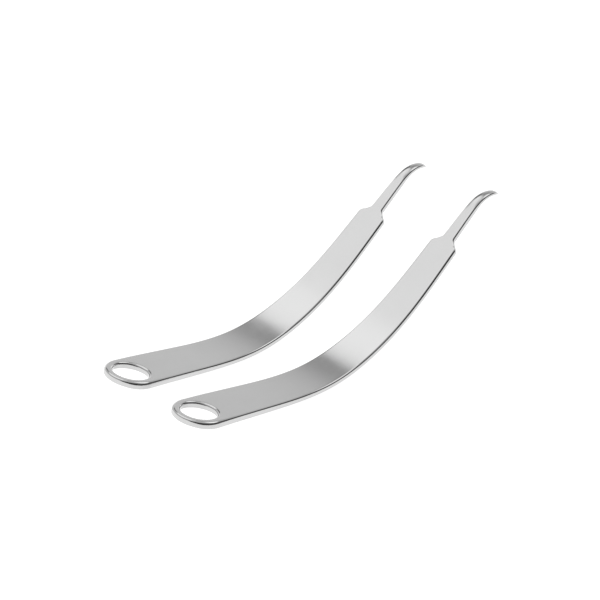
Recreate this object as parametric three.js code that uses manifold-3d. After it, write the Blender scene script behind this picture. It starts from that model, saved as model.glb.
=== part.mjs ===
// A pair of cheek retractors: each is one strip of steel, forged and bent.
// Millimetres, degrees, +Z up. The tools lie along X, handle ends towards -X,
// rocking on their curved bellies, one behind the other along Y.

import * as THREE from 'three';
import { mergeVertices } from 'three/addons/utils/BufferGeometryUtils.js';
import Module from 'manifold-3d';

// Handle: a flat strip with a round end and a hanging hole
const handleRadius = 9.3;
const stripThickness = 2.2;
const hangingHoleRadius = 6.35;
const hangingHoleDistance = 9.1;
const hangingHoleRim = 0.5;
const rimRadius = 0.8;

// Blade: the strip tapers evenly from the handle's round end to the shoulders
const shoulderDistance = 133.5;
const shoulderWidth = 11.4;

// Neck and hook: a narrow tongue that ends in a rounded, crowned point
const shoulderRun = 4;
const neckWidth = 4.8;
const neckLength = 13.5;
const hookRadius = 12.9;
const hookTurn = 69.5;
const hookTipWidth = 2.8;
const hookTipThickness = 0.9;
const hookPointLength = 5;
const hookNoseDrop = 0.6;
const hookCrown = 0.45;

// Bends of the strip, measured along it from the handle's round end
const handleSlope = -16.4;
const gripBendStart = 36.5;
const gripBendLength = 48.5;
const gripBendTurn = 14.7;
const sweepBendStart = 52.5;
const sweepBendLength = 75;
const sweepBendTurn = 34;

// How the two tools lie beside each other
const pairPitch = 30.6;
const rearLean = 1.8;
const frontAhead = 0.9;
const frontTilt = 1.4;
const frontYaw = -1.1;

// Fineness of the faceted surface
const bendStep = 2.4;
const hookStep = 1.1;
const roundStep = 10;

const wasm = await Module();
wasm.setup();

const toRadians = THREE.MathUtils.degToRad;
const clamp = THREE.MathUtils.clamp;
const lerp = THREE.MathUtils.lerp;

// Places along the strip that follow from the driving dimensions
const neckStart = shoulderDistance + shoulderRun;
const hookStart = neckStart + neckLength;
const hookLength = hookRadius * toRadians(hookTurn);
const stripLength = hookStart + hookLength;

// Slope of the strip's face at a distance along it, in radians
function slopeAt(along) {
  const grip = THREE.MathUtils.smoothstep(along, gripBendStart, gripBendStart + gripBendLength);
  const sweep = THREE.MathUtils.smoothstep(along, sweepBendStart, sweepBendStart + sweepBendLength);
  const hook = clamp((along - hookStart) / hookLength, 0, 1);
  return toRadians(handleSlope + grip * gripBendTurn + sweep * sweepBendTurn - hook * hookTurn);
}

// Centre line of the upper face: x and z in steps along the strip
function traceCentreLine() {
  const step = 0.1;
  const count = Math.ceil(stripLength / step);
  const points = [new THREE.Vector2(0, 0)];
  for (let i = 1; i <= count; i += 1) {
    const slope = slopeAt(((i - 0.5) * stripLength) / count);
    const run = stripLength / count;
    const last = points[i - 1];
    points.push(new THREE.Vector2(last.x + Math.cos(slope) * run, last.y + Math.sin(slope) * run));
  }
  return points;
}

const centreLine = traceCentreLine();

// A place in the strip: distance along it, sideways offset and depth below the upper face
function placeInStrip(along, side, depth) {
  const at = clamp((along / stripLength) * (centreLine.length - 1), 0, centreLine.length - 1);
  const before = Math.min(Math.floor(at), centreLine.length - 2);
  const centre = centreLine[before].clone().lerp(centreLine[before + 1], at - before);
  const slope = slopeAt(along);
  return new THREE.Vector3(
    centre.x + Math.sin(slope) * depth,
    side,
    centre.y - Math.cos(slope) * depth,
  );
}

// Half the strip's width at a distance along it
function halfWidthAt(along) {
  if (along < handleRadius) {
    return Math.sqrt(Math.max(handleRadius ** 2 - (handleRadius - along) ** 2, 0));
  }
  const taper = clamp((along - handleRadius) / (shoulderDistance - handleRadius), 0, 1);
  const blade = lerp(handleRadius, shoulderWidth / 2, taper);
  const narrowing = clamp((along - neckStart) / (stripLength - neckStart), 0, 1);
  const neck = lerp(neckWidth / 2, hookTipWidth / 2, narrowing);
  const step = THREE.MathUtils.smoothstep(along, shoulderDistance, neckStart);
  const fromPoint = clamp((stripLength - along) / hookPointLength, 0, 1);
  const point = Math.sqrt(1 - (1 - fromPoint) ** 2);
  return lerp(blade, neck, step) * point;
}

// How far the hook's rounded nose drops below the upper face's line
function noseDropAt(along) {
  const nose = clamp((along - stripLength + hookPointLength) / hookPointLength, 0, 1);
  return hookNoseDrop * nose ** 2;
}

// Thickness of the strip, which thins along the hook and again at its nose
function thicknessAt(along) {
  const hook = clamp((along - hookStart) / hookLength, 0, 1);
  return lerp(stripThickness, hookTipThickness, hook) - noseDropAt(along);
}

// How far a place lies in from the strip's outline
function insetAt(along, side) {
  if (along < handleRadius) {
    return handleRadius - Math.hypot(handleRadius - along, side);
  }
  return Math.min(halfWidthAt(along) - Math.abs(side), stripLength - along);
}

// Half the thickness at a place: the rims are rounded over all round the outline
function halfDepthAt(along, side) {
  const half = thicknessAt(along) / 2;
  const rim = Math.min(rimRadius, half * 0.8);
  const inset = clamp(insetAt(along, side), 0, rim);
  return half - rim + Math.sqrt(rim ** 2 - (rim - inset) ** 2);
}

// One closed ring of points round the strip at a distance along it
function ringAt(along) {
  const width = halfWidthAt(along);
  const thickness = thicknessAt(along);
  const middle = noseDropAt(along) + thickness / 2;
  const crown = Math.min(hookCrown * clamp((along - hookStart) / hookLength, 0, 1), thickness / 2);
  const sides = [0.06, 0.35, 1].map((share, i) => {
    return Math.max(width - rimRadius * share, width * (0.98 - 0.1 * i));
  });
  const across = [...sides, width * 0.4, 0, -width * 0.4, ...sides.map((side) => -side).reverse()];
  const drop = (side) => crown * (side / Math.max(width, rimRadius)) ** 2;
  const upper = across.map((side) => [side, middle - halfDepthAt(along, side) + drop(side)]);
  const lower = across.map((side) => [side, middle + halfDepthAt(along, side)]).reverse();
  const edgeDepth = middle + crown * 0.5;
  const ring = [[width, edgeDepth], ...upper, [-width, edgeDepth], ...lower];
  return ring.map(([side, depth]) => placeInStrip(along, side, depth));
}

// Distances along the strip that get a ring
function ringDistances() {
  const distances = [];
  for (let angle = roundStep; angle <= 90; angle += roundStep) {
    distances.push(handleRadius * (1 - Math.cos(toRadians(angle))));
  }
  const addEvenly = (from, to, step) => {
    const count = Math.max(1, Math.ceil((to - from) / step));
    for (let i = 1; i <= count; i += 1) {
      distances.push(lerp(from, to, i / count));
    }
  };
  addEvenly(handleRadius, gripBendStart, handleRadius * 2);
  addEvenly(gripBendStart, shoulderDistance, bendStep);
  addEvenly(shoulderDistance, neckStart, shoulderRun / 8);
  addEvenly(neckStart, hookStart, bendStep);
  addEvenly(hookStart, stripLength - hookPointLength, hookStep);
  for (let angle = roundStep * 2; angle < 90; angle += roundStep) {
    distances.push(stripLength - hookPointLength * (1 - Math.sin(toRadians(angle))));
  }
  return distances;
}

// The bent strip as one closed surface, from the pole at the handle's end to the hook's point
function bentStrip() {
  const rings = ringDistances().map(ringAt);
  const ringSize = rings[0].length;
  const points = rings.flat();
  const handlePole = points.push(placeInStrip(0, 0, thicknessAt(0) / 2)) - 1;
  const hookPole = points.push(placeInStrip(stripLength, 0, (hookTipThickness + hookNoseDrop) / 2)) - 1;
  const faces = [];
  const lastRing = (rings.length - 1) * ringSize;
  for (let j = 0; j < ringSize; j += 1) {
    const next = (j + 1) % ringSize;
    faces.push(handlePole, next, j);
    for (let i = 0; i < lastRing; i += ringSize) {
      faces.push(i + j, i + next, i + ringSize + next, i + j, i + ringSize + next, i + ringSize + j);
    }
    faces.push(lastRing + j, lastRing + next, hookPole);
  }
  const geometry = new THREE.BufferGeometry().setFromPoints(points);
  geometry.setIndex(faces);
  return geometry;
}

// The hanging hole's cutter: a turned plug that flares over the rims on both faces
function holeCutter() {
  const clear = 2;
  const upper = [new THREE.Vector2(0, clear), new THREE.Vector2(hangingHoleRadius + hangingHoleRim, clear)];
  for (let angle = 0; angle <= 90; angle += 30) {
    const turn = toRadians(angle);
    upper.push(new THREE.Vector2(
      hangingHoleRadius + hangingHoleRim * (1 - Math.sin(turn)),
      -hangingHoleRim * (1 - Math.cos(turn)),
    ));
  }
  const lower = upper.map((point) => new THREE.Vector2(point.x, -stripThickness - point.y));
  const plug = new THREE.LatheGeometry([...lower, ...upper.reverse()], 360 / roundStep);
  plug.rotateX(Math.PI / 2);
  plug.rotateY(-slopeAt(hangingHoleDistance));
  const centre = placeInStrip(hangingHoleDistance, 0, 0);
  return plug.translate(centre.x, centre.y, centre.z);
}

// A solid for cutting and joining, from a closed geometry
function toSolid(geometry) {
  const bare = geometry.clone();
  bare.deleteAttribute('normal');
  bare.deleteAttribute('uv');
  const merged = mergeVertices(bare, 1e-5);
  const index = merged.index.array;
  const kept = [];
  for (let i = 0; i < index.length; i += 3) {
    const [a, b, c] = [index[i], index[i + 1], index[i + 2]];
    if (a !== b && b !== c && c !== a) {
      kept.push(a, b, c);
    }
  }
  return new wasm.Manifold(new wasm.Mesh({
    numProp: 3,
    vertProperties: new Float32Array(merged.attributes.position.array),
    triVerts: new Uint32Array(kept),
  }));
}

// A geometry back from a cut or joined solid
function toGeometry(solid) {
  const mesh = solid.getMesh();
  const geometry = new THREE.BufferGeometry();
  geometry.setAttribute('position', new THREE.BufferAttribute(mesh.vertProperties, 3));
  geometry.setIndex(new THREE.BufferAttribute(mesh.triVerts, 1));
  geometry.computeVertexNormals();
  return geometry;
}

// One retractor: the bent strip with its hanging hole
function retractorGeometry() {
  return toGeometry(toSolid(bentStrip()).subtract(toSolid(holeCutter())));
}

function steel(color) {
  return new THREE.MeshStandardMaterial({ color, metalness: 1, roughness: 0.28 });
}

// A named retractor, turned as it lies and let down until its belly touches the ground
function layDown(name, geometry, color, lean, tilt, yaw, x, y) {
  const mesh = new THREE.Mesh(geometry, steel(color));
  mesh.name = name;
  mesh.rotation.set(toRadians(lean), -toRadians(tilt), toRadians(yaw), 'ZYX');
  mesh.position.set(x, y, 0);
  mesh.position.z = -new THREE.Box3().setFromObject(mesh, true).min.z;
  return mesh;
}

const pair = new THREE.Group();
pair.name = 'cheek_retractors';
const shape = retractorGeometry();
pair.add(layDown('rear_retractor', shape, 0xc9cbcd, rearLean, 0, 0, 0, pairPitch / 2));
pair.add(layDown('front_retractor', shape.clone(), 0xc4c6c8, 0, frontTilt, frontYaw, frontAhead, -pairPitch / 2));

// The origin is under the middle of the pair's bounding box
const box = new THREE.Box3().setFromObject(pair, true);
pair.position.set(-(box.min.x + box.max.x) / 2, -(box.min.y + box.max.y) / 2, 0);
pair.updateMatrixWorld(true);

export default pair;
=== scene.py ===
import math
import bmesh
import bpy
from mathutils import Matrix, Vector


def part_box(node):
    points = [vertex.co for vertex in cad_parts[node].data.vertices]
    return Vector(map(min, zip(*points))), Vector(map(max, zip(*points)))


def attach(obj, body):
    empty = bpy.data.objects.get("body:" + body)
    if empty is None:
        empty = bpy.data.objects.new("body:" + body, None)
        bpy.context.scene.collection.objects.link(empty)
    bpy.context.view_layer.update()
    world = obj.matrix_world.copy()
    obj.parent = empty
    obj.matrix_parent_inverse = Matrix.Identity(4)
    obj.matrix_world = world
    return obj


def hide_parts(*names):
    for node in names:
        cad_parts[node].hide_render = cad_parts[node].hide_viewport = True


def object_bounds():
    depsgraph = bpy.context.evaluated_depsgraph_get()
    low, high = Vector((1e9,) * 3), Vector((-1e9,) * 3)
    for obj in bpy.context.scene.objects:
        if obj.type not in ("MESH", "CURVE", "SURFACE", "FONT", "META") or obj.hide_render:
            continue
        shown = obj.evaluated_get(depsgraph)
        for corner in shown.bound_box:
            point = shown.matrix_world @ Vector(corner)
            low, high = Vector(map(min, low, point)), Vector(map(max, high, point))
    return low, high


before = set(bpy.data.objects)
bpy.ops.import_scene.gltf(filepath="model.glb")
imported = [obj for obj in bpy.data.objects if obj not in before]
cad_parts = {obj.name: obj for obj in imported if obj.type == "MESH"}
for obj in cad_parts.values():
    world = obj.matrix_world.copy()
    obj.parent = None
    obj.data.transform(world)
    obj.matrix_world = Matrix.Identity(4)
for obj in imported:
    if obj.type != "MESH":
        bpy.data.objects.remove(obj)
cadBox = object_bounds()
print("frame loaded", sorted(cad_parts))

mm = 0.001


def hexToLinear(hexText):
    # sRGB hex to the linear colour a shader socket takes
    channels = [int(hexText[i:i + 2], 16) / 255 for i in (1, 3, 5)]
    linear = [c / 12.92 if c <= 0.04045 else ((c + 0.055) / 1.055) ** 2.4 for c in channels]
    return linear + [1.0]


def addNode(tree, kind, settings=None, inputs=None, links=None):
    # a node with its settings, its own socket values and what it is linked from
    node = tree.nodes.new(kind)
    for name, value in (settings or {}).items():
        setattr(node, name, value)
    for name, value in (inputs or {}).items():
        node.inputs[name].default_value = value
    for name, source in (links or {}).items():
        tree.links.new(source, node.inputs[name])
    return node


def clampShare(value):
    return min(max(value, 0.0), 1.0)


def smoothStep(value, start, length):
    share = clampShare((value - start) / length)
    return share * share * (3 - 2 * share)


def mix(a, b, share):
    return a + (b - a) * clampShare(share)


# sizes in mm, measured along the strip from the handle's round end, and turns in degrees
retractor = {
    "handleRadius": 9.3,
    "handleSlope": -16.4,
    "thickness": 2.2,
    "handleThickness": 2.5,      # the handle is left a touch thicker than the blade
    "thinning": (22.0, 30.0),    # start and length of the run where the handle thins to the blade
    "holeRadius": 6.2,
    "holeAt": 8.85,
    "shoulderAt": 133.5,
    "shoulderWidth": 11.4,
    "shoulderRun": 4.0,
    "neckWidth": 4.8,
    "neckLength": 13.5,
    "bends": [(36.5, 48.5, 14.7), (52.5, 75.0, 34.0)],    # start, length, turn
    "hookRadius": 12.9,
    "hookTurn": 69.5,
    "hookTipWidth": 2.8,
    "hookTipThickness": 0.9,
    "hookPoint": 5.0,            # length that rounds in to the point
    "noseDrop": 0.6,             # fall of the upper face over that length
    "hookCrown": 0.55,           # fall of the hook's upper face from its middle to its edges
    "crownLift": 0.25,           # share of that fall by which the middle stands above the strip
    "crownRun": (5.0, 8.0),      # how far before the hook the crown starts, and the run where it grows
    # rounding of the upper and lower edges: in the hole, round the handle's end and along the strip
    "holeRim": (0.95, 0.9),
    "endRim": (1.25, 0.4),
    "rim": (0.8, 0.8),
    "endRimFrom": 4.65,          # from here to the join the end's rounding turns into the strip's
    "tipRim": (0.5, 3.3),        # start and length of the run near the tip where the end's rounding grows in
    "rimOfWidth": 0.22,          # the most that the rounding takes of a narrow strip's half width
    "rimOfThickness": (0.6, 0.38),    # and of its thickness, above and below
    # the mesh
    "ringSegments": 96,
    "ringCorner": 15.0,          # half the angle of the ring from which the strip grows
    "joinAt": 20.0,              # where the ring round the hole meets the strip
    "handleStep": 6.0,           # distances between the rows of vertices
    "bendStep": 1.5,
    "shoulderStep": 0.4,
    "shoulderMargin": 1.0,
    "neckStep": 1.6,
    "hookStep": 0.7,
    "pointStep": 0.45,
    "pointRun": (1.6, 0.25),     # where the closest rows start and end, back from the point
    "lineSteps": 3200,           # short straight runs that make up the centre line
    "squareFrom": 50.0,          # an edge sharper than this is bevelled
    "bevelPercent": 57,
    "wallDrop": 0.06,            # an edge that falls further than this belongs to a rim or a wall
    "smoothLevels": 2,
    "touching": 1e-4,            # closer than this counts as the same place
    "onLoop": 0.02,              # a vertex this near to a loop's place is on the loop
}


def neckStart(t):
    return t["shoulderAt"] + t["shoulderRun"]


def hookStart(t):
    return neckStart(t) + t["neckLength"]


def stripLength(t):
    return hookStart(t) + t["hookRadius"] * math.radians(t["hookTurn"])


def hookShareAt(t, along):
    return clampShare((along - hookStart(t)) / (stripLength(t) - hookStart(t)))


def slopeAt(t, along):
    slope = t["handleSlope"] - t["hookTurn"] * hookShareAt(t, along)
    for start, length, turn in t["bends"]:
        slope += turn * smoothStep(along, start, length)
    return math.radians(slope)


def traceCentreLine(t):
    points = [Vector((0, 0))]
    run = stripLength(t) / t["lineSteps"]
    for i in range(t["lineSteps"]):
        slope = slopeAt(t, (i + 0.5) * run)
        points.append(points[-1] + Vector((math.cos(slope), math.sin(slope))) * run)
    return points


def halfWidthAt(t, along):
    r = t["handleRadius"]
    blade = mix(r, t["shoulderWidth"] / 2, (along - r) / (t["shoulderAt"] - r))
    neckShare = (along - neckStart(t)) / (stripLength(t) - neckStart(t))
    neck = mix(t["neckWidth"], t["hookTipWidth"], neckShare) / 2
    fromPoint = clampShare((stripLength(t) - along) / t["hookPoint"])
    point = math.sqrt(1 - (1 - fromPoint) ** 2)
    return mix(blade, neck, smoothStep(along, t["shoulderAt"], t["shoulderRun"])) * point


def thicknessAt(t, along):
    strip = mix(t["handleThickness"], t["thickness"], smoothStep(along, *t["thinning"]))
    return mix(strip, t["hookTipThickness"], hookShareAt(t, along))


def noseDropAt(t, along):
    nose = clampShare((along - stripLength(t)) / t["hookPoint"] + 1)
    return t["noseDrop"] * nose ** 2


def rimAt(t, along, below=0):
    # how far the upper or lower edges are rounded over
    share = smoothStep(along, t["endRimFrom"], t["joinAt"] - t["endRimFrom"])
    share = max(share, 1 - smoothStep(along, *t["tipRim"]))
    return mix(t["endRim"][below], t["rim"][below], share)


def rowStations(t):
    # distances along the strip that get a row of vertices, closer where it turns or narrows
    stretches = [
        (t["bends"][0][0], t["handleStep"]),
        (t["shoulderAt"] - t["shoulderMargin"], t["bendStep"]),
        (neckStart(t) + t["shoulderMargin"], t["shoulderStep"]),
        (hookStart(t), t["neckStep"]),
        (stripLength(t) - t["pointRun"][0], t["hookStep"]),
        (stripLength(t) - t["pointRun"][1], t["pointStep"]),
    ]
    stations = []
    start = t["joinAt"]
    for end, step in stretches:
        count = max(1, math.ceil((end - start) / step))
        stations.extend(mix(start, end, (i + 1) / count) for i in range(count))
        start = end
    return stations


def onRing(centre, angle, radius):
    return centre + Vector((math.cos(angle), math.sin(angle), 0)) * radius


def onJoinOutline(t, angle, onRim):
    # the ring's outer edge: round on the handle's end, square where the blade joins
    r = t["handleRadius"]
    if abs(angle) >= math.pi / 2:
        radius = r if onRim else r - rimAt(t, r + r * math.cos(angle))
        return onRing(Vector((r, 0, 0)), angle, radius)
    corner = math.radians(t["ringCorner"])
    share = (abs(angle) - corner) / (math.pi / 2 - corner)
    along = mix(t["joinAt"], r, share)
    edge = halfWidthAt(t, along) - (0 if onRim else rimAt(t, along))
    if abs(angle) <= corner + t["touching"]:
        return Vector((t["joinAt"], edge * angle / corner, 0))
    return Vector((along, math.copysign(edge, angle), 0))


def onRow(t, along, share):
    # a share of 1 is the loop that holds the rim, and the vertices beyond it are on the edge
    width = halfWidthAt(t, along)
    inner = width - min(t["rim"][0], width * t["rimOfWidth"])
    side = share * inner if abs(share) < 1 + t["touching"] else math.copysign(width, share)
    return Vector((along, side, 0))


def extrudeLoop(bm, edges, marks, place):
    # new edges beside the old ones; each new vertex keeps its old one's mark and is placed by it
    made = bmesh.ops.extrude_edge_only(bm, edges=edges)["geom"]
    newMarks = {}
    for v in (g for g in made if isinstance(g, bmesh.types.BMVert)):
        newMarks[v] = marks[min(marks, key=lambda old: (old.co - v.co).length_squared)]
    for v, mark in newMarks.items():
        v.co = place(mark)
    newEdges = [g for g in made if isinstance(g, bmesh.types.BMEdge)]
    return [e for e in newEdges if all(v in newMarks for v in e.verts)], newMarks


def makeFlatFace(t):
    # the upper face as a flat sheet: x along the strip, y across it
    bm = bmesh.new()
    ring = bmesh.ops.create_circle(bm, segments=t["ringSegments"], radius=t["holeRadius"])["verts"]
    angles = {v: math.atan2(v.co.y, v.co.x) for v in ring}
    centre = Vector((t["holeAt"], 0, 0))
    bmesh.ops.translate(bm, verts=ring, vec=centre)
    lip = t["holeRadius"] + t["holeRim"][0]
    edges, angles = extrudeLoop(bm, list(bm.edges), angles, lambda angle: onRing(centre, angle, lip))
    edges, angles = extrudeLoop(bm, edges, angles, lambda angle: onJoinOutline(t, angle, False))
    joinFrom = t["joinAt"] - t["touching"]
    outline = [e for e in edges if min(v.co.x for v in e.verts) < joinFrom]
    extrudeLoop(bm, outline, angles, lambda angle: onJoinOutline(t, angle, True))

    # the strip grows from the square side, one row after another
    row = [e for e in bm.edges if e.is_boundary and min(v.co.x for v in e.verts) > joinFrom]
    inner = halfWidthAt(t, t["joinAt"]) - rimAt(t, t["joinAt"])
    shares = {v: v.co.y / inner for e in row for v in e.verts}
    for along in rowStations(t):
        row, shares = extrudeLoop(bm, row, shares, lambda share: onRow(t, along, share))
    bmesh.ops.recalc_face_normals(bm, faces=bm.faces)
    if next(iter(bm.faces)).normal.z < 0:
        bmesh.ops.reverse_faces(bm, faces=bm.faces)
    return bm


def moveToLowerRim(v, t):
    # the lower face's holding loops lie as far in as the lower edges are rounded
    fromHole = v.co.xy - Vector((t["holeAt"], 0))
    if abs(fromHole.length - t["holeRadius"] - t["holeRim"][0]) < t["onLoop"]:
        v.co.xy -= fromHole.normalized() * (t["holeRim"][0] - t["holeRim"][1])
    r = t["handleRadius"]
    fromMiddle = v.co.xy - Vector((r, 0))
    if v.co.x > r:
        along = v.co.x
        edge = halfWidthAt(t, along)
        fromMiddle.x = 0
    else:
        along = r + r * fromMiddle.normalized().x
        edge = r
    upper = rimAt(t, along)
    inRing = v.co.x < t["joinAt"] + t["touching"]
    if inRing and abs(edge - fromMiddle.length - upper) < t["onLoop"]:
        v.co.xy += fromMiddle.normalized() * (upper - rimAt(t, along, 1))


def giveThickness(bm, t):
    # walls in three steps down from the rims, then the lower face closes them
    rimEdges = [e for e in bm.edges if e.is_boundary]
    upperFaces = list(bm.faces)
    centre = Vector((t["holeAt"], 0))
    for level in range(3):
        made = bmesh.ops.extrude_edge_only(bm, edges=rimEdges)["geom"]
        newVerts = {g for g in made if isinstance(g, bmesh.types.BMVert)}
        newEdges = [g for g in made if isinstance(g, bmesh.types.BMEdge)]
        rimEdges = [e for e in newEdges if all(v in newVerts for v in e.verts)]
        for v in newVerts:
            thickness = thicknessAt(t, v.co.x)
            upper = noseDropAt(t, v.co.x)
            inHole = (v.co.xy - centre).length < t["holeRadius"] + t["onLoop"]
            rims = t["holeRim"] if inHole else [rimAt(t, v.co.x, below) for below in (0, 1)]
            rims = [min(rim, (thickness - upper) * limit) for rim, limit in zip(rims, t["rimOfThickness"])]
            v.co.z = -(upper + rims[0], thickness - rims[1], thickness)[level]
    copies = bmesh.ops.duplicate(bm, geom=upperFaces)["geom"]
    for v in (g for g in copies if isinstance(g, bmesh.types.BMVert)):
        v.co.z = -thicknessAt(t, v.co.x)
        moveToLowerRim(v, t)
    lowerFaces = [g for g in copies if isinstance(g, bmesh.types.BMFace)]
    bmesh.ops.reverse_faces(bm, faces=lowerFaces)
    bmesh.ops.remove_doubles(bm, verts=bm.verts, dist=t["touching"])
    bmesh.ops.recalc_face_normals(bm, faces=bm.faces)


def roundEdges(bm, t):
    # the square edges are bevelled over to the loops that hold them; the subdivision rounds the bevels
    square = [e for e in bm.edges if e.calc_face_angle(0) > math.radians(t["squareFrom"])]
    bmesh.ops.bevel(bm, geom=square, offset=t["bevelPercent"], offset_type="PERCENT", segments=1,
                    profile=0.5, affect="EDGES", material=-1, clamp_overlap=True)


def markRims(bm, t):
    # 1 on the rounded edges and the walls, 0 on the flat faces
    layer = bm.verts.layers.float.new("rim")
    for v in bm.verts:
        drop = max(abs(e.other_vert(v).co.z - v.co.z) for e in v.link_edges)
        v[layer] = drop > t["wallDrop"]


def bendStrip(bm, t):
    # every vertex goes from the flat blank to its place in the bent strip
    line = traceCentreLine(t)
    length = stripLength(t)
    crownLead, crownRun = t["crownRun"]
    for v in bm.verts:
        along, side, depth = v.co.x, v.co.y, -v.co.z
        width = max(halfWidthAt(t, along), t["rim"][0])
        thickness = thicknessAt(t, along)
        upper = noseDropAt(t, along)
        crown = t["hookCrown"] * smoothStep(along, hookStart(t) - crownLead, crownRun)
        crown = min(crown, (thickness - upper) / 2)
        depth = max(depth, upper)
        depth += crown * ((side / width) ** 2 - t["crownLift"]) * max(0.0, 1 - depth / thickness)
        place = clampShare(along / length) * (len(line) - 1)
        before = min(int(place), len(line) - 2)
        centre = line[before].lerp(line[before + 1], place - before)
        slope = slopeAt(t, along)
        v.co = (centre.x + math.sin(slope) * depth, side, centre.y - math.cos(slope) * depth)


def setOnNode(piece, node):
    # the finished strip is set where the frame has its node
    bpy.context.view_layer.update()
    shown = piece.evaluated_get(bpy.context.evaluated_depsgraph_get())
    places = [v.co for v in shown.data.vertices]
    low = Vector([min(p[i] for p in places) for i in range(3)])
    high = Vector([max(p[i] for p in places) for i in range(3)])
    nodeLow, nodeHigh = (Vector(c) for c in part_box(node))
    shift = (nodeLow + nodeHigh - low - high) / 2
    shift.z = nodeLow.z - low.z
    piece.data.transform(Matrix.Translation(shift))
    print(piece.name, "set on", node, "size", [round(c / mm, 2) for c in high - low],
          "node", [round(c / mm, 2) for c in nodeHigh - nodeLow])


def makeRetractor(name, t, node, lie):
    bm = makeFlatFace(t)
    giveThickness(bm, t)
    roundEdges(bm, t)
    markRims(bm, t)
    bendStrip(bm, t)
    yaw = Matrix.Rotation(math.radians(lie["yaw"]), 4, "Z")
    tilt = Matrix.Rotation(-math.radians(lie["tilt"]), 4, "Y")
    lean = Matrix.Rotation(math.radians(lie["lean"]), 4, "X")
    bmesh.ops.transform(bm, matrix=Matrix.Scale(mm, 4) @ (yaw @ tilt @ lean), verts=bm.verts)
    for face in bm.faces:
        face.smooth = True
    mesh = bpy.data.meshes.new(name)
    bm.to_mesh(mesh)
    bm.free()
    piece = bpy.data.objects.new(name, mesh)
    bpy.context.collection.objects.link(piece)
    smooth = piece.modifiers.new("smooth", "SUBSURF")
    smooth.levels = t["smoothLevels"]
    smooth.render_levels = t["smoothLevels"]
    setOnNode(piece, node)
    return piece


# how each tool lies on the floor, in degrees: rolled on its side, hook end raised, turned round
rearLie = {"lean": 2.0, "tilt": 0.0, "yaw": 0.0}
frontLie = {"lean": 0.5, "tilt": 1.4, "yaw": -1.1}

rear = makeRetractor("rearRetractor", retractor, "rear_retractor", rearLie)
front = makeRetractor("frontRetractor", retractor, "front_retractor", frontLie)
for piece, node, body in ((rear, "rear_retractor", "rear"), (front, "front_retractor", "front")):
    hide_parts(node)
    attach(piece, body)
print("retractors modelled")

# colours, roughness, and sizes in mm
steelLook = {
    "light": "#cdcdcd",
    "dark": "#c5c5c5",
    "satin": 0.21,               # roughness of the ground faces
    "polished": 0.09,            # and of the rims
    "patchiness": 0.025,         # how much the patches change the roughness, up and down
    "lining": 0.04,              # and how much the grinding lines do
    "grainWidth": 0.4,           # the real lines are about 0.05 apart and would not show
    "grainLength": 14.0,
    "grainDepth": 0.0012,
    "cloud": 7.0,                # size of the patches the grinding wheel leaves
    "cloudRange": (0.3, 0.7),    # where the patches' noise mostly lies
    "wave": 0.045,               # how far the ground faces are from true
    "wavesPerCloud": 0.6,
    "wornSpeck": 0.8,            # size of the unevenness where the polish ends
    "wornEdge": 0.35,            # and its strength
}


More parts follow.
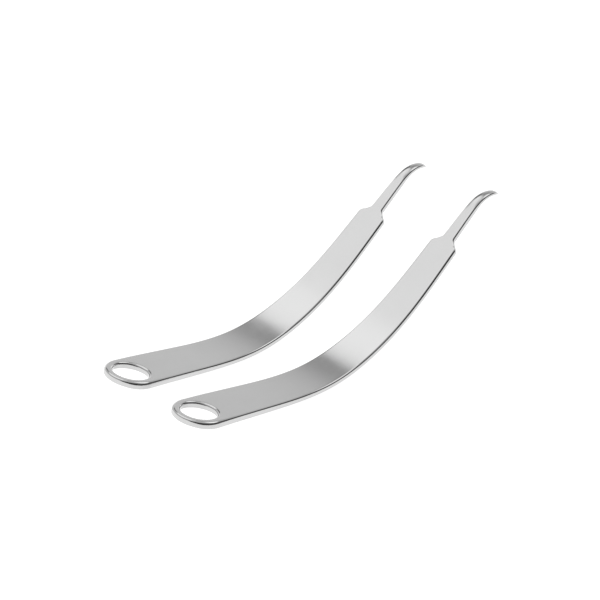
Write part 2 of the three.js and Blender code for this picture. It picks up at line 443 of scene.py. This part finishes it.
def makeSteel(look):
    # stainless steel, belt ground to a satin on the faces and mop polished on the rims: the faces
    # mirror softly, in faint lengthwise lines and patches, and the rims carry crisp light and dark lines
    mat = bpy.data.materials.new("satin_stainless_steel")
    mat.use_nodes = True
    tree = mat.node_tree
    tree.nodes.clear()
    acrossGrain = 1 / (look["grainWidth"] * mm)
    alongGrain = 1 / (look["grainLength"] * mm)
    perCloud = 1 / (look["cloud"] * mm)
    perWave = look["wavesPerCloud"] / (look["cloud"] * mm)
    perSpeck = 1 / (look["wornSpeck"] * mm)
    place = addNode(tree, "ShaderNodeTexCoord").outputs["Object"]
    lines = addNode(tree, "ShaderNodeMapping",
                    inputs={"Scale": (alongGrain, acrossGrain, alongGrain)}, links={"Vector": place})
    grain = addNode(tree, "ShaderNodeTexNoise", inputs={"Scale": 1.0, "Detail": 3.0, "Roughness": 0.6},
                    links={"Vector": lines.outputs[0]})
    cloud = addNode(tree, "ShaderNodeTexNoise", inputs={"Scale": perCloud, "Detail": 3.0},
                    links={"Vector": place})
    wave = addNode(tree, "ShaderNodeTexNoise", inputs={"Scale": perWave, "Detail": 1.0},
                   links={"Vector": place})
    speck = addNode(tree, "ShaderNodeTexNoise", inputs={"Scale": perSpeck, "Detail": 2.0},
                    links={"Vector": place})
    rim = addNode(tree, "ShaderNodeAttribute", {"attribute_name": "rim"})

    # the polish runs a little way in from the rims, unevenly, where mops and hands wore the grain away
    edge = addNode(tree, "ShaderNodeMath", {"operation": "MULTIPLY_ADD"},
                   {1: 2 * look["wornEdge"], 2: -look["wornEdge"]}, {0: speck.outputs["Fac"]})
    worn = addNode(tree, "ShaderNodeMath", {"operation": "ADD", "use_clamp": True},
                   links={0: rim.outputs["Fac"], 1: edge.outputs[0]})
    colour = addNode(tree, "ShaderNodeMixRGB",
                     inputs={"Color1": hexToLinear(look["dark"]), "Color2": hexToLinear(look["light"])},
                     links={"Fac": cloud.outputs["Fac"]})
    patchy = addNode(tree, "ShaderNodeMapRange", inputs={
        "From Min": look["cloudRange"][0],
        "From Max": look["cloudRange"][1],
        "To Min": look["satin"] - look["patchiness"],
        "To Max": look["satin"] + look["patchiness"],
    }, links={"Value": cloud.outputs["Fac"]})
    lined = addNode(tree, "ShaderNodeMath", {"operation": "MULTIPLY_ADD"},
                    {1: 2 * look["lining"], 2: -look["lining"]}, {0: grain.outputs["Fac"]})
    satin = addNode(tree, "ShaderNodeMath", {"operation": "ADD"},
                    links={0: patchy.outputs[0], 1: lined.outputs[0]})
    rough = addNode(tree, "ShaderNodeMapRange", inputs={"To Max": look["polished"]},
                    links={"Value": worn.outputs[0], "To Min": satin.outputs[0]})
    flats = addNode(tree, "ShaderNodeMath", {"operation": "SUBTRACT", "use_clamp": True}, {0: 1.0},
                    {1: worn.outputs[0]})
    waves = addNode(tree, "ShaderNodeBump", inputs={"Distance": look["wave"] * mm},
                    links={"Height": wave.outputs["Fac"], "Strength": flats.outputs[0]})
    bump = addNode(tree, "ShaderNodeBump", inputs={"Distance": look["grainDepth"] * mm}, links={
        "Height": grain.outputs["Fac"],
        "Strength": flats.outputs[0],
        "Normal": waves.outputs[0],
    })
    shader = addNode(tree, "ShaderNodeBsdfPrincipled", inputs={"Metallic": 1.0}, links={
        "Base Color": colour.outputs[0],
        "Roughness": rough.outputs[0],
        "Normal": bump.outputs[0],
    })
    addNode(tree, "ShaderNodeOutputMaterial", links={"Surface": shader.outputs[0]})
    return mat


steel = makeSteel(steelLook)
for piece in (rear, front):
    piece.data.materials.append(steel)
print("steel made")

floorLook = {
    "size": 3.0,                 # m
    "base": "#909090",
    "roughness": 0.6,
    "glow": 0.9,
}


def makeFloor(look):
    bm = bmesh.new()
    bmesh.ops.create_grid(bm, x_segments=1, y_segments=1, size=look["size"] / 2)
    mesh = bpy.data.meshes.new("floor")
    bm.to_mesh(mesh)
    bm.free()
    floor = bpy.data.objects.new("floor", mesh)
    bpy.context.collection.objects.link(floor)
    mat = bpy.data.materials.new("opal_acrylic")
    mat.use_nodes = True
    tree = mat.node_tree
    tree.nodes.clear()
    # opal acrylic, evenly lit from below, so that things on it throw hardly any shadow
    acrylic = addNode(tree, "ShaderNodeBsdfPrincipled", inputs={
        "Base Color": hexToLinear(look["base"]),
        "Roughness": look["roughness"],
        "Emission Color": (1, 1, 1, 1),
        "Emission Strength": look["glow"],
    })
    addNode(tree, "ShaderNodeOutputMaterial", links={"Surface": acrylic.outputs[0]})
    mesh.materials.append(mat)


makeFloor(floorLook)

keyLight = {
    "size": 1.6,                 # m
    "power": 7,                  # W
    "place": (0.1, 0.2, 1.2),
}


def makeKeyLight(look):
    # lifts the floor only; the steel does not mirror it
    data = bpy.data.lights.new("keyLight", "AREA")
    data.shape = "DISK"
    data.size = look["size"]
    data.energy = look["power"]
    light = bpy.data.objects.new("keyLight", data)
    bpy.context.collection.objects.link(light)
    light.location = look["place"]
    light.visible_camera = False
    light.visible_glossy = False


makeKeyLight(keyLight)

# what the steel mirrors: a grey backdrop by elevation, then flags and soft boxes by direction
surroundings = {
    "backdrop": [
        # elevation in degrees, brightness
        (-90, 0.8), (8, 0.82), (18, 0.77), (23, 0.72), (29, 0.63),
        (33, 0.52), (37, 0.39), (58, 0.39), (68, 0.8), (90, 0.8),
    ],
    "cards": [
        # azimuth, elevation, inner and outer reach in degrees, flattening, brightness
        ("far flag", 57, 24, 8, 13, 1, 0.06),
        ("overhead soft box", 88, 66, 24.5, 32.5, 1, 1.2),
        ("soft box centre", 66, 50, 6, 16, 1, 1.38),
        ("dark room in front", -65, 0, 55, 65, 2, 0.1),
        ("dark room behind the camera", -114, 30, 29, 36, 1, 0.06),
        ("dark room on the left", -148, 18, 22, 32, 1, 0.08),
        ("zenith flag", -100, 75, 12, 18, 1, 0.6),
        ("camera side soft box", -20, 48, 12, 18, 1, 1.6),
    ],
}


def makeSurroundings(look):
    world = bpy.data.worlds.new("studio")
    bpy.context.scene.world = world
    world.use_nodes = True
    tree = world.node_tree
    tree.nodes.clear()
    direction = addNode(tree, "ShaderNodeTexCoord")
    unit = addNode(tree, "ShaderNodeVectorMath", {"operation": "NORMALIZE"},
                   links={0: direction.outputs["Generated"]})
    split = addNode(tree, "ShaderNodeSeparateXYZ", links={0: unit.outputs[0]})
    height = addNode(tree, "ShaderNodeMath", {"operation": "ARCSINE"}, links={0: split.outputs["Z"]})
    place = addNode(tree, "ShaderNodeMapRange", inputs={"From Min": -math.pi / 2, "From Max": math.pi / 2},
                    links={"Value": height.outputs[0]})
    ramp = addNode(tree, "ShaderNodeValToRGB", links={"Fac": place.outputs[0]})
    stops = ramp.color_ramp.elements
    while len(stops) < len(look["backdrop"]):
        stops.new(0.5)
    for stop, (elevation, brightness) in zip(stops, look["backdrop"]):
        stop.position = (elevation + 90) / 180
        stop.color = (brightness, brightness, brightness, 1)
    shade = ramp.outputs["Color"]
    for label, azimuth, elevation, inner, outer, flat, brightness in look["cards"]:
        turn = math.radians(azimuth)
        rise = math.radians(elevation)
        towards = (math.cos(rise) * math.cos(turn), math.cos(rise) * math.sin(turn), math.sin(rise))
        # a card flatter than round is a round one in a space stretched upwards
        stretched = addNode(tree, "ShaderNodeVectorMath", {"operation": "MULTIPLY"}, {1: (1, 1, flat)},
                            {0: unit.outputs[0]})
        flatUnit = addNode(tree, "ShaderNodeVectorMath", {"operation": "NORMALIZE"},
                           links={0: stretched.outputs[0]})
        facing = addNode(tree, "ShaderNodeVectorMath", {"operation": "DOT_PRODUCT", "label": label},
                         {1: towards}, {0: flatUnit.outputs[0]})
        reach = {"From Min": math.cos(math.radians(outer)), "From Max": math.cos(math.radians(inner))}
        share = addNode(tree, "ShaderNodeMapRange", {"interpolation_type": "SMOOTHSTEP"}, reach,
                        {"Value": facing.outputs["Value"]})
        card = addNode(tree, "ShaderNodeMixRGB", inputs={"Color2": (brightness, brightness, brightness, 1)},
                       links={"Fac": share.outputs[0], "Color1": shade})
        shade = card.outputs[0]
    light = addNode(tree, "ShaderNodeBackground", links={"Color": shade})
    addNode(tree, "ShaderNodeOutputWorld", links={"Surface": light.outputs[0]})


makeSurroundings(surroundings)
print("floor, light and surroundings made")

cameraPlace = {
    "azimuth": -46.771,          # degrees from straight in front, to the left
    "elevation": 32.83,
    "distance": 998.36 * mm,
    "aimFromMiddle": (-1.69 * mm, 1.99 * mm, -0.19 * mm),
    "lens": 175.08,              # mm
    "sensorWidth": 36,           # mm
}


def makeCamera(look, low, high):
    data = bpy.data.cameras.new("camera")
    data.lens = look["lens"]
    data.sensor_width = look["sensorWidth"]
    camera = bpy.data.objects.new("camera", data)
    bpy.context.collection.objects.link(camera)
    turn = math.radians(look["azimuth"])
    rise = math.radians(look["elevation"])
    towards = Vector((math.sin(turn) * math.cos(rise), -math.cos(turn) * math.cos(rise), math.sin(rise)))
    aim = (low + high) / 2 + Vector(look["aimFromMiddle"])
    camera.location = aim + towards * look["distance"]
    camera.rotation_euler = (-towards).to_track_quat("-Z", "Y").to_euler()
    return camera


bpy.context.scene.camera = makeCamera(cameraPlace, *(Vector(c) for c in cadBox))
bpy.context.scene.view_settings.view_transform = "Standard"
print("camera set")
